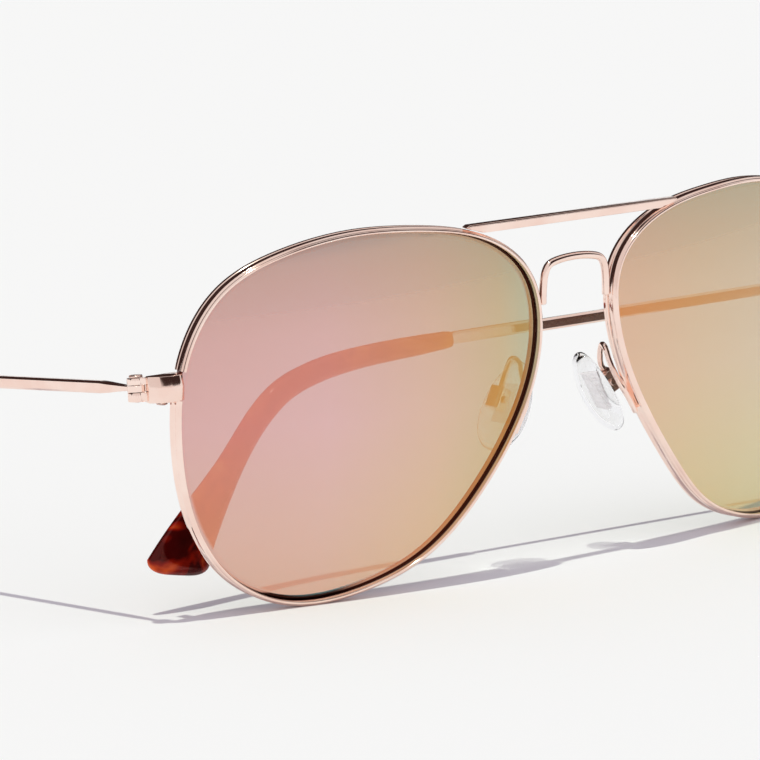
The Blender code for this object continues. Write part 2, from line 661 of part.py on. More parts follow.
def build_side(side, front):
    sign = SIDES[side]
    build_rim(side, front)
    build_lens(side, front)
    tilt = Matrix.Rotation(math.radians(-HINGE_LEAN * sign), 3, "Y")
    tilt = tilt @ Matrix.Rotation(math.radians(-TEMPLE_DROOP), 3, "X")
    hinge_place = (HINGE_PLACE[0] * sign, *HINGE_PLACE[1:])
    hinge = add_empty(f"{side}_hinge", front, hinge_place, tilt)
    fold = Matrix.Rotation(math.radians(FOLDED[side] * sign), 3, "Z")
    pivot = add_empty(f"{side}_temple_pivot", hinge, turn=fold)
    build_end_piece(side, front, hinge)
    build_rim_lock(side, front)
    build_hinge_screw(side, hinge)
    build_temple(side, pivot)
    build_temple_tip(side, pivot)
    turn = Matrix.Rotation(math.radians(-PAD_TURN * sign), 3, "Z")
    turn = turn @ Matrix.Rotation(math.radians(-PAD_SPLAY * sign), 3, "Y")
    pad_place = (PAD_PLACE[0] * sign, *PAD_PLACE[1:])
    pad_pivot = add_empty(f"{side}_pad_pivot", front, pad_place, turn)
    build_pad_arm(side, front, turn)
    build_pad_box(side, pad_pivot)
    build_nose_pad(side, pad_pivot)
    build_pad_insert(side, pad_pivot)


def stand_on_ground(front):
    """Moves the whole assembly so that the origin is under the middle of its box."""
    bpy.context.view_layer.update()
    graph = bpy.context.evaluated_depsgraph_get()
    corners = []
    for item in bpy.context.scene.objects:
        if item.type == "MESH" and not item.hide_render:
            solid = item.evaluated_get(graph)
            corners += [solid.matrix_world @ vertex.co for vertex in solid.data.vertices]
    corners = np.array(corners)
    low, high = corners.min(axis=0), corners.max(axis=0)
    front.location = (-(low[0] + high[0]) / 2, -(low[1] + high[1]) / 2, -low[2])


def main():
    clear_scene()
    front = add_empty("front", turn=Matrix.Rotation(math.radians(STAND_LEAN), 3, "X"))
    build_bridge(front)
    build_top_bar(front)
    for side in SIDES:
        build_side(side, front)
    stand_on_ground(front)


main()
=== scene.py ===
import json
import math

import bmesh
import bpy
import numpy as np
from mathutils import Matrix, Vector


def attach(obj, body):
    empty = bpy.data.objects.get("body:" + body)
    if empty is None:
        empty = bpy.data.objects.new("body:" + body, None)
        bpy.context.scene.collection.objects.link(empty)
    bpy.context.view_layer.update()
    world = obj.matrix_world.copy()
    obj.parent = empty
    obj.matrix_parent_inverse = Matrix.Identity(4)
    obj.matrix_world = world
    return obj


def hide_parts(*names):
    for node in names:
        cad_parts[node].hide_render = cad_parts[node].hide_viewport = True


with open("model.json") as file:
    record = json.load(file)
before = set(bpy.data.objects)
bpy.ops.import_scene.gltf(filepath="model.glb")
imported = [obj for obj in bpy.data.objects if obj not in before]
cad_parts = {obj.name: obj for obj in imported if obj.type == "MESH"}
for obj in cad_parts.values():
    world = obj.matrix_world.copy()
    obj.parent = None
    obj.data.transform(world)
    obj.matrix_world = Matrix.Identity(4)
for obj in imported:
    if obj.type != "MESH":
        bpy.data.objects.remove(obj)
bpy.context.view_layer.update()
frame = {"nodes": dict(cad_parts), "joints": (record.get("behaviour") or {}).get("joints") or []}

millimetre = 0.001
sides = {"left": -1, "right": 1}
joints = {joint["name"]: Vector(joint["pos_m"]) for joint in frame["joints"]}

# How the glasses stand: on both rims and the open temple's tip, so that the front leans forward.
stand = {
    "lean": 4.4,
    "hinge": (68.9, 10.45, 6.6),
    "droop": 7.0,
    "toeIn": 0.5,
    "fold": {"left": 0.0, "right": 86.2},
    "padPlace": (10.4, 3.4, -1.2),
    "padTurn": 8.0,
    "padSplay": 29.0,
}


def turned(degrees, axis):
    return Matrix.Rotation(math.radians(degrees), 4, axis)


def makeFrames():
    # From millimetres in the front's, the temples' and the pads' own frames to the CAD's metres.
    lean = turned(stand["lean"], "X")
    middle = (joints["left_temple_fold"] + joints["right_temple_open"]) / 2
    across, back, up = stand["hinge"]
    origin = middle - lean @ Vector((0, back, up)) * millimetre
    front = Matrix.Translation(origin) @ lean @ Matrix.Scale(millimetre, 4)
    frames = {"front": front}
    for side, sign in sides.items():
        tilt = turned(-stand["toeIn"] * sign, "Y") @ turned(-stand["droop"], "X")
        hinge = front @ Matrix.Translation((across * sign, back, up)) @ tilt
        frames[f"temple_{side}"] = hinge @ turned(stand["fold"][side] * sign, "Z")
        x, y, z = stand["padPlace"]
        turn = turned(-stand["padTurn"] * sign, "Z") @ turned(-stand["padSplay"] * sign, "Y")
        frames[f"pad_{side}"] = front @ Matrix.Translation((x * sign, y, z)) @ turn
    return frames


frames = makeFrames()


# Shape helpers: all in millimetres in one of the frames above.


def smoothCurve(points, steps, closed=False):
    # The cubic spline through the points, with this many steps to a span.
    points = np.array(points, float)
    count = len(points)
    system = 4 * np.eye(count) + np.eye(count, k=1) + np.eye(count, k=-1)
    load = 6 * (np.roll(points, 1, axis=0) - 2 * points + np.roll(points, -1, axis=0))
    if closed:
        system[0, -1] = system[-1, 0] = 1
    else:
        system[0] = np.eye(count)[0]
        system[-1] = np.eye(count)[-1]
        load[[0, -1]] = 0
    bend = np.linalg.solve(system, load)
    curve = []
    for start in range(count if closed else count - 1):
        end = (start + 1) % count
        for step in range(steps):
            far = step / steps
            near = 1 - far
            bow = (near**3 - near) * bend[start] + (far**3 - far) * bend[end]
            curve.append(near * points[start] + far * points[end] + bow / 6)
    if not closed:
        curve.append(points[-1])
    return np.array(curve)


def loft(rings):
    shape = bmesh.new()
    rows = [[shape.verts.new(point) for point in ring] for ring in rings]
    count = len(rows[0])
    for row, following in zip(rows, rows[1:]):
        for index in range(count):
            other = (index + 1) % count
            shape.faces.new((row[index], row[other], following[other], following[index]))
    shape.faces.new(rows[0])
    shape.faces.new(reversed(rows[-1]))
    return shape


def roundedCorners(corners, radius, steps, mostCut=0.45):
    # A closed outline with each corner replaced by a small curve.
    count = len(corners)
    outline = []
    for index in range(count):
        before, corner, after = (Vector(corners[(index + k) % count]) for k in (-1, 0, 1))
        shorter = min((before - corner).length, (after - corner).length)
        cut = min(radius, shorter * mostCut)
        start = corner + (before - corner).normalized() * cut
        end = corner + (after - corner).normalized() * cut
        for step in range(steps + 1):
            t = step / steps
            outline.append((1 - t) ** 2 * start + 2 * t * (1 - t) * corner + t**2 * end)
    return outline


def addPiece(name, shape, frameName, body, materials, replaced, crease=40):
    bmesh.ops.recalc_face_normals(shape, faces=shape.faces)
    mesh = bpy.data.meshes.new(name)
    shape.to_mesh(mesh)
    shape.free()
    mesh.transform(frames[frameName])
    mesh.shade_smooth()
    mesh.set_sharp_from_angle(angle=math.radians(crease))
    piece = bpy.data.objects.new(name, mesh)
    bpy.context.scene.collection.objects.link(piece)
    for finish in materials:
        mesh.materials.append(finish)
    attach(piece, body)
    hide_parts(*replaced)


wireShape = {"sides": 24, "domeSteps": 4, "domeTurn": 0.95, "domeHeight": 0.4}


def wire(points, radius, steps):
    # A round wire along the spline through the points, with domed ends.
    angles = [math.tau * k / wireShape["sides"] for k in range(wireShape["sides"])]
    turn = math.pi / 2 * wireShape["domeTurn"] / wireShape["domeSteps"]
    domes = [turn * step for step in range(wireShape["domeSteps"] + 1)]
    path = [Vector(point) for point in smoothCurve(points, steps)]
    last = len(path) - 1
    across = (path[1] - path[0]).orthogonal().normalized()
    rings = []
    for index, place in enumerate(path):
        ahead = (path[min(index + 1, last)] - path[max(index - 1, 0)]).normalized()
        across = (across - ahead * across.dot(ahead)).normalized()
        up = ahead.cross(across)
        levels = [(0.0, 1.0)]
        if index in (0, last):
            levels = [(math.sin(dome) * wireShape["domeHeight"], math.cos(dome)) for dome in domes]
            if index == 0:
                levels = [(-shift, share) for shift, share in reversed(levels)]
        for shift, share in levels:
            centre = place + ahead * shift * radius
            spokes = [across * math.cos(angle) + up * math.sin(angle) for angle in angles]
            rings.append([centre + spoke * radius * share for spoke in spokes])
    return loft(rings)


# Materials.


def nodeGroup(name, inputs, outputs):
    group = bpy.data.node_groups.new(name, "ShaderNodeTree")
    for label, kind, value in inputs:
        socket = group.interface.new_socket(label, in_out="INPUT", socket_type=kind)
        socket.default_value = value
    for label, kind in outputs:
        group.interface.new_socket(label, in_out="OUTPUT", socket_type=kind)
    return group, group.nodes.new("NodeGroupInput"), group.nodes.new("NodeGroupOutput")


def link(tree, start, end):
    tree.links.new(start, end)


def newNode(tree, kind, values=None, **settings):
    node = tree.nodes.new(kind)
    for setting, value in settings.items():
        setattr(node, setting, value)
    for socket, value in (values or {}).items():
        node.inputs[socket].default_value = value
    return node


def rampNode(tree, stops):
    node = tree.nodes.new("ShaderNodeValToRGB")
    while len(node.color_ramp.elements) < len(stops):
        node.color_ramp.elements.new(0.5)
    for element, (place, colour) in zip(node.color_ramp.elements, stops):
        element.position = place
        element.color = (*colour, 1)
    return node


polishMarks = {
    "haze": {"Scale": 260.0, "Detail": 4.0, "Roughness": 0.6},
    "hazeRange": {"From Min": 0.3, "From Max": 0.7},
    "scratches": {"Scale": 2600.0, "Detail": 3.0, "Roughness": 0.7},
    "depth": 0.00002,
}


def makePolishGroup():
    # Faint polishing marks and finger haze: a roughness and a bump height.
    group, given, result = nodeGroup(
        "polishMarks",
        [("Low", "NodeSocketFloat", 0.05), ("High", "NodeSocketFloat", 0.15)],
        [("Roughness", "NodeSocketFloat"), ("Height", "NodeSocketFloat")],
    )
    place = newNode(group, "ShaderNodeTexCoord")
    haze = newNode(group, "ShaderNodeTexNoise", polishMarks["haze"])
    fine = newNode(group, "ShaderNodeTexNoise", polishMarks["scratches"])
    for noise in (haze, fine):
        link(group, place.outputs["Object"], noise.inputs["Vector"])
    spread = newNode(group, "ShaderNodeMapRange", polishMarks["hazeRange"])
    link(group, haze.outputs["Fac"], spread.inputs["Value"])
    link(group, given.outputs["Low"], spread.inputs["To Min"])
    link(group, given.outputs["High"], spread.inputs["To Max"])
    link(group, spread.outputs["Result"], result.inputs["Roughness"])
    link(group, fine.outputs["Fac"], result.inputs["Height"])
    return group


def newMaterial(name, values):
    made = bpy.data.materials.new(name)
    made.use_nodes = True
    shader = made.node_tree.nodes["Principled BSDF"]
    for socket, value in values.items():
        shader.inputs[socket].default_value = value
    return made, made.node_tree, shader


def addPolish(tree, shader, polish, finish):
    low, high = finish["roughness"]
    marks = newNode(tree, "ShaderNodeGroup", node_tree=polish)
    marks.inputs["Low"].default_value = low
    marks.inputs["High"].default_value = high
    link(tree, marks.outputs["Roughness"], shader.inputs["Roughness"])
    relief = newNode(tree, "ShaderNodeBump", {"Strength": finish["bump"], "Distance": polishMarks["depth"]})
    link(tree, marks.outputs["Height"], relief.inputs["Height"])
    link(tree, relief.outputs["Normal"], shader.inputs["Normal"])


def addClouds(tree, shader, clouds, colours):
    # A noise that drifts through the colours, over the whole surface.
    place = newNode(tree, "ShaderNodeTexCoord")
    noise = newNode(tree, "ShaderNodeTexNoise", clouds)
    link(tree, place.outputs["Object"], noise.inputs["Vector"])
    ramp = rampNode(tree, colours)
    link(tree, noise.outputs["Fac"], ramp.inputs["Fac"])
    link(tree, ramp.outputs["Color"], shader.inputs["Base Color"])


roseGold = {
    "colours": [(0.35, (1.0, 0.80, 0.715)), (0.75, (0.93, 0.66, 0.57))],
    "clouds": {"Scale": 180.0, "Detail": 3.0},
    "roughness": (0.05, 0.13),
    "bump": 0.05,
}

screwMetal = {
    "colours": [(0.4, (0.86, 0.62, 0.54)), (0.65, (0.5, 0.34, 0.3))],
    "clouds": {"Scale": 900.0, "Detail": 3.0},
    "roughness": (0.12, 0.3),
    "bump": 0.2,
}


def makeMetal(name, metal, polish):
    made, tree, shader = newMaterial(name, {"Metallic": 1.0})
    addClouds(tree, shader, metal["clouds"], metal["colours"])
    addPolish(tree, shader, polish, metal)
    return made


lensTint = {
    "light": (0.10, 0.72, 0.86),
    "deep": (0.06, 0.6, 0.8),
    "rear": (0.045, 0.014, 0.014),
    "bottom": 0.1,
    "top": 0.9,
    "glass": {"Transmission Weight": 1.0, "IOR": 1.03, "Roughness": 0.0},
    "varnish": {"Coat Weight": 1.0, "Coat Roughness": 0.02},
}

# The coat's colour drifts across the front, from the left lens's outer edge to the right lens's:
# pink to green, then tan to khaki. "reach" is from the middle of the front to that edge.
mirrorCoat = {
    "across": [
        (0.03, (0.92, 0.36, 0.26)),
        (0.17, (0.95, 0.41, 0.31)),
        (0.30, (0.92, 0.44, 0.2)),
        (0.39, (0.80, 0.45, 0.1)),
        (0.44, (0.66, 0.52, 0.2)),
        (0.56, (0.97, 0.46, 0.17)),
        (0.68, (0.91, 0.52, 0.2)),
        (0.80, (0.87, 0.55, 0.25)),
        (1.0, (0.85, 0.55, 0.27)),
    ],
    "upwards": [
        (0.0, (1.0, 1.0, 0.74)),
        (0.25, (1.0, 0.96, 0.84)),
        (0.5, (1.0, 0.9, 1.0)),
        (0.74, (0.94, 0.8, 0.8)),
        (0.9, (0.82, 0.64, 0.48)),
        (1.0, (0.7, 0.56, 0.36)),
    ],
    "reach": 65.0,
    "edgeFrom": 0.968,
    "edgeTo": 0.984,
    "cover": 0.72,
    "roughness": 0.03,
}


def lensMap(tree, name):
    # The two values that addLens writes to the map of this name.
    place = newNode(tree, "ShaderNodeUVMap", uv_map=name)
    split = newNode(tree, "ShaderNodeSeparateXYZ")
    link(tree, place.outputs["UV"], split.inputs["Vector"])
    return split.outputs["X"], split.outputs["Y"]


def makeMirrorCoat():
    made, tree, shader = newMaterial(
        "mirrorCoat", {"Metallic": 1.0, "Roughness": mirrorCoat["roughness"]}
    )
    sideways, height = lensMap(tree, "lensPlace")
    across = rampNode(tree, mirrorCoat["across"])
    upwards = rampNode(tree, mirrorCoat["upwards"])
    link(tree, sideways, across.inputs["Fac"])
    link(tree, height, upwards.inputs["Fac"])
    both = newNode(tree, "ShaderNodeMix", data_type="RGBA", blend_type="MULTIPLY")
    both.inputs["Factor"].default_value = 1.0
    link(tree, across.outputs["Color"], both.inputs["A"])
    link(tree, upwards.outputs["Color"], both.inputs["B"])
    # In a narrow border, where the rim stands behind it, the coat is opaque and partly the tint's colour:
    # painted light that stands in for the light seen through the lens.
    outwards, _ = lensMap(tree, "lensRing")
    border = {"From Min": mirrorCoat["edgeFrom"], "From Max": mirrorCoat["edgeTo"]}
    cover = newNode(tree, "ShaderNodeMapRange", border | {"To Min": mirrorCoat["cover"]})
    link(tree, outwards, cover.inputs["Value"])
    link(tree, cover.outputs["Result"], shader.inputs["Alpha"])
    throughLightShare = newNode(tree, "ShaderNodeMapRange", border | {"To Max": 1 - mirrorCoat["cover"]})
    link(tree, outwards, throughLightShare.inputs["Value"])
    shaded = newNode(tree, "ShaderNodeMix", data_type="RGBA")
    shaded.inputs["B"].default_value = (*lensTint["light"], 1)
    link(tree, both.outputs["Result"], shaded.inputs["A"])
    link(tree, throughLightShare.outputs["Result"], shaded.inputs["Factor"])
    link(tree, shaded.outputs["Result"], shader.inputs["Base Color"])
    return made


def makeLensTint():
    made, tree, shader = newMaterial("lensTint", lensTint["glass"] | lensTint["varnish"])
    _, height = lensMap(tree, "lensPlace")
    stops = [(lensTint["bottom"], lensTint["light"]), (lensTint["top"], lensTint["deep"])]
    colours = rampNode(tree, stops)
    link(tree, height, colours.inputs["Fac"])
    # From behind, the lens is brown; light that leaves through the rear face is teal.
    seen = newNode(tree, "ShaderNodeNewGeometry")
    both = newNode(tree, "ShaderNodeMix", data_type="RGBA")
    both.inputs["A"].default_value = (*lensTint["rear"], 1)
    link(tree, colours.outputs["Color"], both.inputs["B"])
    link(tree, seen.outputs["Backfacing"], both.inputs["Factor"])
    link(tree, both.outputs["Result"], shader.inputs["Base Color"])
    return made


# Finishes that are the same all over.
# Painted shade: the rim's wall in front of the lens is a dark red-brown metal.
rimWallShade = {"Base Color": (0.09, 0.022, 0.016, 1), "Metallic": 1.0, "Roughness": 0.14}
# Painted shade: the lens's edge faces are dark brown, standing in for the shaded groove round the lens.
lensEdgeShade = {"Base Color": (0.13, 0.022, 0.012, 1), "Roughness": 0.12, "Coat Weight": 1.0}
paleFloor = {"Base Color": (0.9, 0.9, 0.9, 1), "Roughness": 0.95, "Specular IOR Level": 0.0}

tortoise = {
    "colours": [
        (0.0, (0.008, 0.0006, 0.0006)),
        (0.4, (0.05, 0.001, 0.001)),
        (0.5, (0.26, 0.008, 0.002)),
        (0.6, (0.62, 0.07, 0.01)),
        (0.76, (0.85, 0.2, 0.03)),
    ],
    "clouds": {"Scale": 120.0, "Detail": 2.0, "Distortion": 1.6},
    "acetate": {"IOR": 1.49, "Specular Tint": (0.9, 0.16, 0.12, 1)},
    "varnish": {"Coat Weight": 0.25, "Coat Roughness": 0.03},
    "roughness": (0.06, 0.14),
    "bump": 0.05,
}


def makeTortoise(polish):
    made, tree, shader = newMaterial("tortoiseAcetate", tortoise["acetate"] | tortoise["varnish"])
    addClouds(tree, shader, tortoise["clouds"], tortoise["colours"])
    addPolish(tree, shader, polish, tortoise)
    return made


silicone = {
    "clear": {"Base Color": (0.97, 0.97, 0.985, 1), "Transmission Weight": 1.0, "IOR": 1.28},
    "shadow": 0.35,
    "roughness": (0.02, 0.08),
    "bump": 0.08,
}


def makeClearSilicone(polish):
    made, tree, shader = newMaterial("clearSilicone", silicone["clear"])
    addPolish(tree, shader, polish, silicone)
    # Its shadow is pale, as light goes through.
    rays = newNode(tree, "ShaderNodeLightPath")
    cover = newNode(tree, "ShaderNodeMapRange", {"To Min": 1.0, "To Max": silicone["shadow"]})
    link(tree, rays.outputs["Is Shadow Ray"], cover.inputs["Value"])
    link(tree, cover.outputs["Result"], shader.inputs["Alpha"])
    return made


# The insert looks pale and half clear, as the silicone around it washes it out.
padCore = {
    "pale": {"Base Color": (0.86, 0.77, 0.79, 1), "Alpha": 0.24},
    "roughness": (0.08, 0.2),
    "bump": 0.1,
}


def makePadCore(polish):
    made, tree, shader = newMaterial("padCore", padCore["pale"])
    addPolish(tree, shader, polish, padCore)
    return made


polish = makePolishGroup()
finishes = {
    "metal": makeMetal("roseGoldPlate", roseGold, polish),
    "screw": makeMetal("screwMetal", screwMetal, polish),
    "coat": makeMirrorCoat(),
    "tint": makeLensTint(),
    "tortoise": makeTortoise(polish),
    "edge": newMaterial("lensEdgeShade", lensEdgeShade)[0],
    "rimWallShade": newMaterial("rimWallShade", rimWallShade)[0],
    "silicone": makeClearSilicone(polish),
    "padCore": makePadCore(polish),
    "floor": newMaterial("paleFloor", paleFloor)[0],
}
print("materials made")


# Lenses and rims. An outline point is (across towards the temple, up) from the lens centre.
# "gap" is from the outline in to the edge of the lens's faces, and "bevel" out to the ridge between.
lensShape = {
    "outline": (
        (27.4, 9.4), (21.9, 18.4), (12.4, 23.0), (1.9, 24.8), (-8.7, 24.5), (-19.2, 22.4),
        (-27.3, 16.0), (-27.8, 5.5), (-23.5, -4.2), (-17.2, -12.7), (-9.4, -19.9), (0.5, -23.9),
        (11.1, -24.8), (20.6, -20.4), (26.4, -11.6), (28.4, -1.2),
    ),
    "offset": 36.05,
    "wrap": 9.7,
    "radius": 111.0,
    "thickness": 1.6,
    "gap": 0.05,
    "bevel": 0.28,
    "bevelDepths": (0.12, 0.5, 0.88),
    "spanSteps": 16,
    "rings": 22,
}


def outlineCurve(steps):
    curve = smoothCurve(lensShape["outline"], steps, closed=True)
    along = np.roll(curve, -1, axis=0) - np.roll(curve, 1, axis=0)
    along /= np.linalg.norm(along, axis=1)[:, None]
    return curve, np.stack([along[:, 1], -along[:, 0]], axis=1)


def lensPoint(side, across, up, depth):
    radius = lensShape["radius"]
    sag = radius - math.sqrt(radius**2 - across**2 - up**2) + depth
    wrap = math.radians(lensShape["wrap"])
    x = lensShape["offset"] + across * math.cos(wrap) - sag * math.sin(wrap)
    y = across * math.sin(wrap) + sag * math.cos(wrap)
    return Vector((x * sides[side], y, up))


def addLens(side):
    curve, normals = outlineCurve(lensShape["spanSteps"])
    edge = -lensShape["gap"]
    shares = [math.sin(math.pi / 2 * k / lensShape["rings"]) for k in range(1, lensShape["rings"])]
    front = [(share, edge, 0.0) for share in shares]
    start, ridge, end = lensShape["bevelDepths"]
    border = [(1.0, edge, 0.0), (1.0, edge, start), (1.0, lensShape["bevel"], ridge), (1.0, edge, end)]
    rear = [(1.0, edge, lensShape["thickness"])]
    rear += [(share, edge, lensShape["thickness"]) for share in reversed(shares)]
    shape = bmesh.new()
    places = shape.loops.layers.uv.new("lensPlace")
    borders = shape.loops.layers.uv.new("lensRing")
    reaches = {}
    rows = []
    for share, outwards, depth in front + border + rear:
        spots = (curve + normals * outwards) * share
        rows.append([shape.verts.new(lensPoint(side, *spot, depth)) for spot in spots])
        reaches.update(dict.fromkeys(rows[-1], share))
    count = len(curve)
    # The border faces get the edge's dark painted shade.
    coat, tint, edgeShade = range(3)  # the piece's materials, in the order that addPiece gets them
    finish = [coat] * len(front) + [edgeShade] * len(border) + [tint] * len(rear)
    for index, (row, following) in enumerate(zip(rows, rows[1:])):
        for k in range(count):
            other = (k + 1) % count
            face = shape.faces.new((row[k], row[other], following[other], following[k]))
            face.material_index = finish[index]
    for row, depth, number in ((rows[0], 0.0, coat), (rows[-1], lensShape["thickness"], tint)):
        middle = shape.verts.new(lensPoint(side, 0, 0, depth))
        for k in range(count):
            face = shape.faces.new((row[k], row[(k + 1) % count], middle))
            face.material_index = number
    low, high = curve[:, 1].min(), curve[:, 1].max()
    for face in shape.faces:
        for corner in face.loops:
            across = (corner.vert.co.x / mirrorCoat["reach"] + 1) / 2
            up = (corner.vert.co.z - low) / (high - low)
            corner[places].uv = (across, up)
            corner[borders].uv = (reaches.get(corner.vert, 0.0), 0.0)
    addPiece(f"lensShell_{side}", shape, "front", "front",
             [finishes["coat"], finishes["tint"], finishes["edge"]], [f"lens_{side}"])


# The rim's section: (outwards from the visible lens edge, behind the lens front).
rimShape = {
    "section": (
        (0.0, 0.05), (0.0, -0.5), (0.0, -1.14), (0.1, -1.26), (0.36, -1.26), (0.44, -1.18), (0.47, -1.08),
        (0.54, -1.04), (0.7, -0.9), (0.7, -0.74), (0.58, -0.6), (0.51, -0.3), (0.51, 0.0), (0.58, 0.28),
        (0.7, 0.42), (0.7, 0.85), (0.55, 1.0), (0.1, 1.0), (0.0, 0.95), (0.36, 0.5),
    ),
    "cornerRadius": 0.05,
    "cornerSteps": 3,
    "spanSteps": 240,
    "stations": 420,
    "templeSide": 20.0,
    "blockSearch": (0.0, 12.0),
    "blockTop": 8.41,
    "blockBottom": 4.66,
}


def rimStations():
    # Even stations round the lens, from just above the closing block the long way to just below it.
    curve, normals = outlineCurve(rimShape["spanSteps"])
    across, up = curve.T
    low, high = rimShape["blockSearch"]
    near = (across > rimShape["templeSide"]) & (up > low) & (up < high)
    above = np.flatnonzero(near & (up > rimShape["blockTop"]))
    below = np.flatnonzero(near & (up < rimShape["blockBottom"]))
    first = above[np.argmin(up[above])]
    last = below[np.argmax(up[below])]
    steps = np.linspace(0, (last - first) % len(curve), rimShape["stations"])
    chosen = (first + steps.round().astype(int)) % len(curve)
    return curve[chosen], normals[chosen]


def addRim(side):
    steps = rimShape["cornerSteps"]
    section = roundedCorners(rimShape["section"], rimShape["cornerRadius"], steps)
    rings = []
    for place, normal in zip(*rimStations()):
        ring = []
        for outwards, depth in section:
            across, up = place + normal * outwards
            ring.append(lensPoint(side, across, up, depth))
        rings.append(ring)
    shape = loft(rings)
    # The wall in front of the lens, from the section's first corner to its second, is darker: painted
    # shade, a dark metal that stands in for the wall's dark reflection.
    for number, face in enumerate(shape.faces):
        if len(face.verts) == 4 and number % len(section) <= steps:
            face.material_index = 1
    addPiece(f"eyewire_{side}", shape, "front", "front", [finishes["metal"], finishes["rimWallShade"]],
             [f"rim_{side}"], crease=50)


bridgeShape = {
    "side": ((6.0, 12.4), (5.98, 13.6), (5.9, 15.0), (5.7, 16.3), (5.1, 17.5), (3.8, 18.1), (1.8, 18.38)),
    "top": 18.45,
    "depth": -0.6,
    "radius": 0.55,
    "spanSteps": 8,
}


def addBridge():
    half = [(x, bridgeShape["depth"], z) for x, z in bridgeShape["side"]]
    other = [(-x, y, z) for x, y, z in reversed(half)]
    points = half + [(0, bridgeShape["depth"], bridgeShape["top"])] + other
    shape = wire(points, bridgeShape["radius"], bridgeShape["spanSteps"])
    addPiece("bridgeWire", shape, "front", "front", [finishes["metal"]], ["bridge"])


softEdge = {"weld": 1e-6, "flat": math.radians(1.5), "crease": math.radians(35), "segments": 2}


def refine(name, body, finish, bevel=0.05):
    # A smooth-edged copy of a CAD node, with the same shape.
    source = frame["nodes"][name]
    shape = bmesh.new()
    shape.from_mesh(source.data)
    bmesh.ops.remove_doubles(shape, verts=shape.verts, dist=softEdge["weld"])
    bmesh.ops.dissolve_limit(shape, angle_limit=softEdge["flat"], verts=shape.verts, edges=shape.edges)
    mesh = bpy.data.meshes.new(f"{name}_fine")
    shape.to_mesh(mesh)
    shape.free()
    mesh.shade_smooth()
    mesh.set_sharp_from_angle(angle=softEdge["crease"])
    piece = bpy.data.objects.new(f"{name}_fine", mesh)
    bpy.context.scene.collection.objects.link(piece)
    mesh.materials.append(finish)
    edges = piece.modifiers.new("softEdges", "BEVEL")
    edges.width = bevel * millimetre
    edges.segments = softEdge["segments"]
    edges.limit_method = "ANGLE"
    edges.angle_limit = softEdge["crease"]
    edges.harden_normals = True
    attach(piece, body)
    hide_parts(name)


# Tip covers: upper and lower edge (back, up) and half thicknesses, in the temple's frame.
tipShape = {
    "upper": (
        (77.5, 1.1), (84.0, 1.15), (91.0, 1.0), (98.0, 0.5), (103.5, -0.5), (108.3, -2.2), (112.3, -5.0),
        (115.5, -8.2), (118.6, -11.4), (121.8, -14.2), (125.2, -17.0), (129.0, -20.4), (132.0, -23.4),
    ),
    "lower": (
        (77.5, -1.35), (84.2, -1.75), (91.0, -2.05), (97.0, -2.6), (101.5, -3.4), (105.6, -4.7),
        (108.9, -6.7), (112.0, -9.5), (114.7, -12.8), (117.0, -16.2), (119.2, -19.9), (120.9, -23.0),
        (122.0, -25.3),
    ),
    "half": (1.15, 1.25, 1.3, 1.35, 1.4, 1.4, 1.4, 1.4, 1.35, 1.3, 1.25, 1.2, 1.1),
    "mouth": (0.55, 0.8, 0.93),
    "mouthDepth": 0.1,
    "endReach": 1.9,
    "endSteps": 9,
    "endRound": 0.55,
    "endThin": 0.7,
    "spanSteps": 8,
    "squareness": 0.8,
    "sides": 40,
}


def squarer(value):
    return math.copysign(abs(value) ** tipShape["squareness"], value)


def tipRing(high, low, half):
    centre = (high + low) / 2
    reach = (high - low) / 2
    ring = []
    for k in range(tipShape["sides"]):
        angle = math.tau * (k + 0.5) / tipShape["sides"]
        back, up = centre + reach * squarer(math.cos(angle))
        ring.append(Vector((half * squarer(math.sin(angle)), back, up)))
    return ring


def addTip(side):
    steps = tipShape["spanSteps"]
    upper = smoothCurve(tipShape["upper"], steps)
    lower = smoothCurve(tipShape["lower"], steps)
    half = smoothCurve([(value, 0) for value in tipShape["half"]], steps)[:, 0]
    rings = []
    middle = (upper[0] + lower[0]) / 2
    for share in tipShape["mouth"]:
        high = middle + (upper[0] - middle) * share
        low = middle + (lower[0] - middle) * share
        shift = Vector((0, (share - tipShape["mouth"][-1]) * tipShape["mouthDepth"], 0))
        rings.append([point + shift for point in tipRing(high, low, half[0] * share)])
    rings += [tipRing(high, low, width) for high, low, width in zip(upper, lower, half)][1:]
    run = upper[-1] - lower[-1]
    outwards = np.array([run[1], -run[0]]) / np.linalg.norm(run)
    middle = (upper[-1] + lower[-1]) / 2
    for step in range(1, tipShape["endSteps"]):
        turn = math.pi / 2 * step / tipShape["endSteps"]
        centre = middle + outwards * tipShape["endReach"] * math.sin(turn)
        length = run / 2 * math.cos(turn) ** tipShape["endRound"]
        width = half[-1] * math.cos(turn) ** tipShape["endThin"]
        rings.append(tipRing(centre + length, centre - length, width))
    addPiece(f"tipCover_{side}", loft(rings), f"temple_{side}", f"temple_{side}", [finishes["tortoise"]],
             [f"temple_tip_{side}"])


# Nose pads: "face" and "rear" are depths; a rear level is (share of the thickness, share of the outline).
padShape = {
    "length": 13.4,
    "width": 7.6,
    "taper": 0.16,
    "drop": -0.3,
    "face": -3.55,
    "rear": -1.5,
    "faceStart": 0.25,
    "crown": {"depth": 0.62, "start": 0.5, "power": 0.75, "steps": 12},
    "rearLevels": ((0.72, 0.995), (0.85, 0.975), (0.94, 0.93), (1.0, 0.86), (0.93, 0.72), (0.86, 0.62)),
    "sides": 72,
}


def padRing(depth, share):
    ring = []
    for k in range(padShape["sides"]):
        angle = math.tau * k / padShape["sides"]
        lift = math.sin(angle)
        width = padShape["width"] / 2 * math.cos(angle) * (1 - padShape["taper"] * lift)
        ring.append((depth, width * share, padShape["drop"] + padShape["length"] / 2 * lift * share))
    return ring


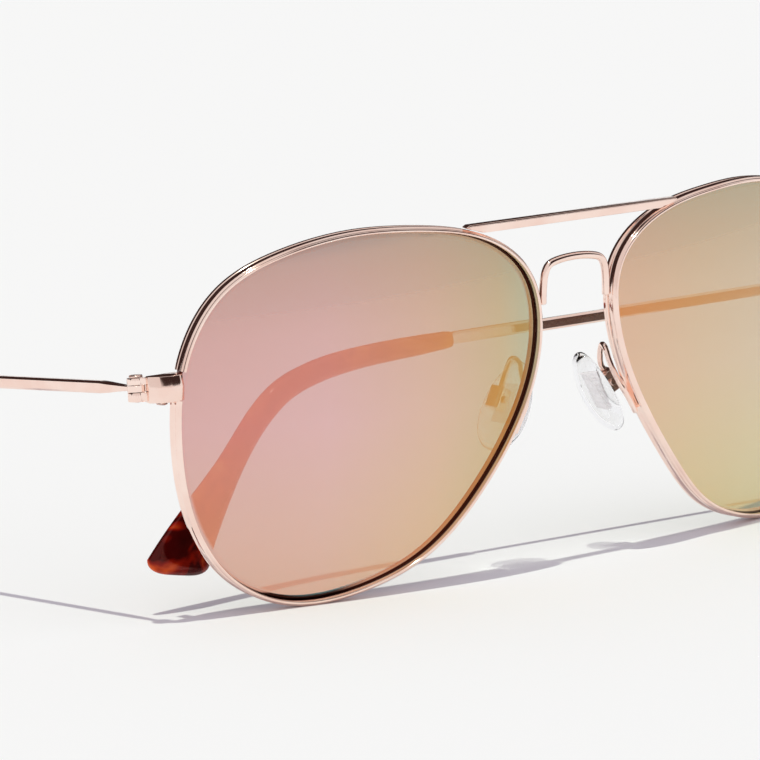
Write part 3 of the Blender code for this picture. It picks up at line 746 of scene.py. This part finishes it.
def addNosePad(side):
    crown = padShape["crown"]
    levels = [(0.0, padShape["faceStart"])]
    for step in range(1, crown["steps"] + 1):
        turn = math.pi / 2 * step / crown["steps"]
        share = crown["start"] + (1 - crown["start"]) * math.sin(turn) ** crown["power"]
        levels.append((crown["depth"] * (1 - math.cos(turn)), share))
    levels += padShape["rearLevels"]
    thickness = padShape["rear"] - padShape["face"]
    rings = []
    for depth, share in levels:
        ring = padRing(padShape["face"] + thickness * depth, share)
        rings.append([(x * sides[side], y, z) for x, y, z in ring])
    addPiece(f"siliconePad_{side}", loft(rings), f"pad_{side}", f"pad_{side}", [finishes["silicone"]],
             [f"nose_pad_{side}"])


for side in sides:
    addRim(side)
    addLens(side)
    addTip(side)
    addNosePad(side)
addBridge()
print("lenses, rims, tips and pads made")

for side in sides:
    for name in (f"end_piece_{side}", f"rim_lock_{side}", f"pad_arm_{side}", f"pad_box_{side}"):
        refine(name, "front", finishes["metal"])
    for name in (f"hinge_screw_{side}", f"rim_lock_screw_{side}", f"pad_screw_{side}"):
        refine(name, "front", finishes["screw"], bevel=0.03)
    refine(f"temple_{side}", f"temple_{side}", finishes["metal"])
    refine(f"pad_insert_{side}", f"pad_{side}", finishes["padCore"], bevel=0.03)
refine("top_bar", "front", finishes["metal"])
print("metal parts refined")


# Floor, light and camera. The room is bright low down and pale above, and dark high up behind the
# glasses and at their front right. A pair of numbers says where such a part starts and where it is full.
studio = {
    "floorSize": 40.0,
    "background": (0.905, 0.905, 0.905),
    "ambient": (0.539, 0.507, 0.572),
    "sunColour": (0.94, 1.0, 0.87),
    "sunStrength": 1.66,
    "sunAngle": 1.0,
    "towardsLight": (-0.155, -0.115, 1.0),
    "glow": (0.9, 0.9, 0.9),
    "dark": (0.04, 0.022, 0.02),
    "upper": (0.78, 0.74, 0.73),
    "skyline": (0.11, 0.135),
    "behind": (0.08, 0.25),
    "cornerRight": (0.03, 0.1),
    "farRight": (0.5, 0.55),
    "cornerFront": (-0.4, -0.5),
    "cornerSkyline": (0.16, 0.18),
}


def addStudio():
    bpy.ops.mesh.primitive_plane_add(size=studio["floorSize"])
    floor = bpy.context.object
    floor.name = "paleFloor"
    floor.data.materials.append(finishes["floor"])
    lamp = bpy.data.lights.new("key", "SUN")
    lamp.energy = studio["sunStrength"]
    lamp.color = studio["sunColour"]
    lamp.angle = math.radians(studio["sunAngle"])
    key = bpy.data.objects.new("key", lamp)
    bpy.context.scene.collection.objects.link(key)
    key.rotation_euler = Vector(studio["towardsLight"]).to_track_quat("Z", "Y").to_euler()
    world = bpy.data.worlds.new("studio")
    bpy.context.scene.world = world
    world.use_nodes = True
    tree = world.node_tree
    tree.nodes.clear()
    place = newNode(tree, "ShaderNodeTexCoord")
    split = newNode(tree, "ShaderNodeSeparateXYZ")
    link(tree, place.outputs["Generated"], split.inputs["Vector"])

    def rising(axis, name):
        low, high = studio[name]
        step = newNode(tree, "ShaderNodeMapRange", {"From Min": low, "From Max": high})
        link(tree, split.outputs[axis], step.inputs["Value"])
        return step.outputs["Result"]

    def joined(operation, first, second):
        both = newNode(tree, "ShaderNodeMath", operation=operation)
        link(tree, first, both.inputs[0])
        link(tree, second, both.inputs[1])
        return both.outputs["Value"]

    def mixed(factor, first, second):
        both = newNode(tree, "ShaderNodeMix", data_type="RGBA")
        link(tree, factor, both.inputs["Factor"])
        for socket, value in (("A", first), ("B", second)):
            if isinstance(value, tuple):
                both.inputs[socket].default_value = (*value, 1)
            else:
                link(tree, value, both.inputs[socket])
        return both.outputs["Result"]

    above = rising("Z", "skyline")
    behind = joined("MULTIPLY", above, rising("Y", "behind"))
    corner = joined("MULTIPLY", rising("X", "cornerRight"), rising("Y", "cornerFront"))
    farRight = joined("MULTIPLY", above, rising("X", "farRight"))
    tall = joined("MAXIMUM", rising("Z", "cornerSkyline"), farRight)
    shaded = joined("MAXIMUM", behind, joined("MULTIPLY", corner, tall))
    room = mixed(shaded, mixed(above, studio["glow"], studio["upper"]), studio["dark"])
    # The camera, also through a lens, sees a plain background, and matt faces get a plain light.
    rays = newNode(tree, "ShaderNodeLightPath")
    seen = joined("MAXIMUM", rays.outputs["Is Camera Ray"], rays.outputs["Is Transmission Ray"])
    room = mixed(seen, room, studio["background"])
    room = mixed(rays.outputs["Is Diffuse Ray"], room, studio["ambient"])
    glow = newNode(tree, "ShaderNodeBackground")
    link(tree, room, glow.inputs["Color"])
    output = newNode(tree, "ShaderNodeOutputWorld")
    link(tree, glow.outputs["Background"], output.inputs["Surface"])
    bpy.context.scene.view_settings.view_transform = "Standard"


# The camera's place is in the front's own frame, and leans with it.
view = {
    "target": (-35.205, 0.0, 5.1),
    "azimuth": -40.68,
    "elevation": 11.16,
    "roll": 0.23,
    "distance": 700.0,
    "lens": 244.4,
    "sensor": 36.0,
}


def addCamera():
    azimuth, elevation = math.radians(view["azimuth"]), math.radians(view["elevation"])
    level = Vector((-math.sin(azimuth), math.cos(azimuth), 0.0))
    ahead = level * math.cos(elevation) - Vector((0, 0, math.sin(elevation)))
    right = ahead.cross(Vector((0, 0, 1))).normalized()
    up = right.cross(ahead)
    roll = math.radians(view["roll"])
    across = right * math.cos(roll) + up * math.sin(roll)
    upwards = up * math.cos(roll) - right * math.sin(roll)
    place = Vector(view["target"]) - ahead * view["distance"]
    axes = Matrix((across, upwards, -ahead)).transposed().to_4x4()
    lens = bpy.data.cameras.new("view")
    lens.lens = view["lens"]
    lens.sensor_width = view["sensor"]
    camera = bpy.data.objects.new("view", lens)
    bpy.context.scene.collection.objects.link(camera)
    camera.location = frames["front"] @ place
    camera.rotation_euler = (turned(stand["lean"], "X") @ axes).to_euler()
    bpy.context.scene.camera = camera


addStudio()
addCamera()
print("studio and camera made")

bpy.context.view_layer.update()
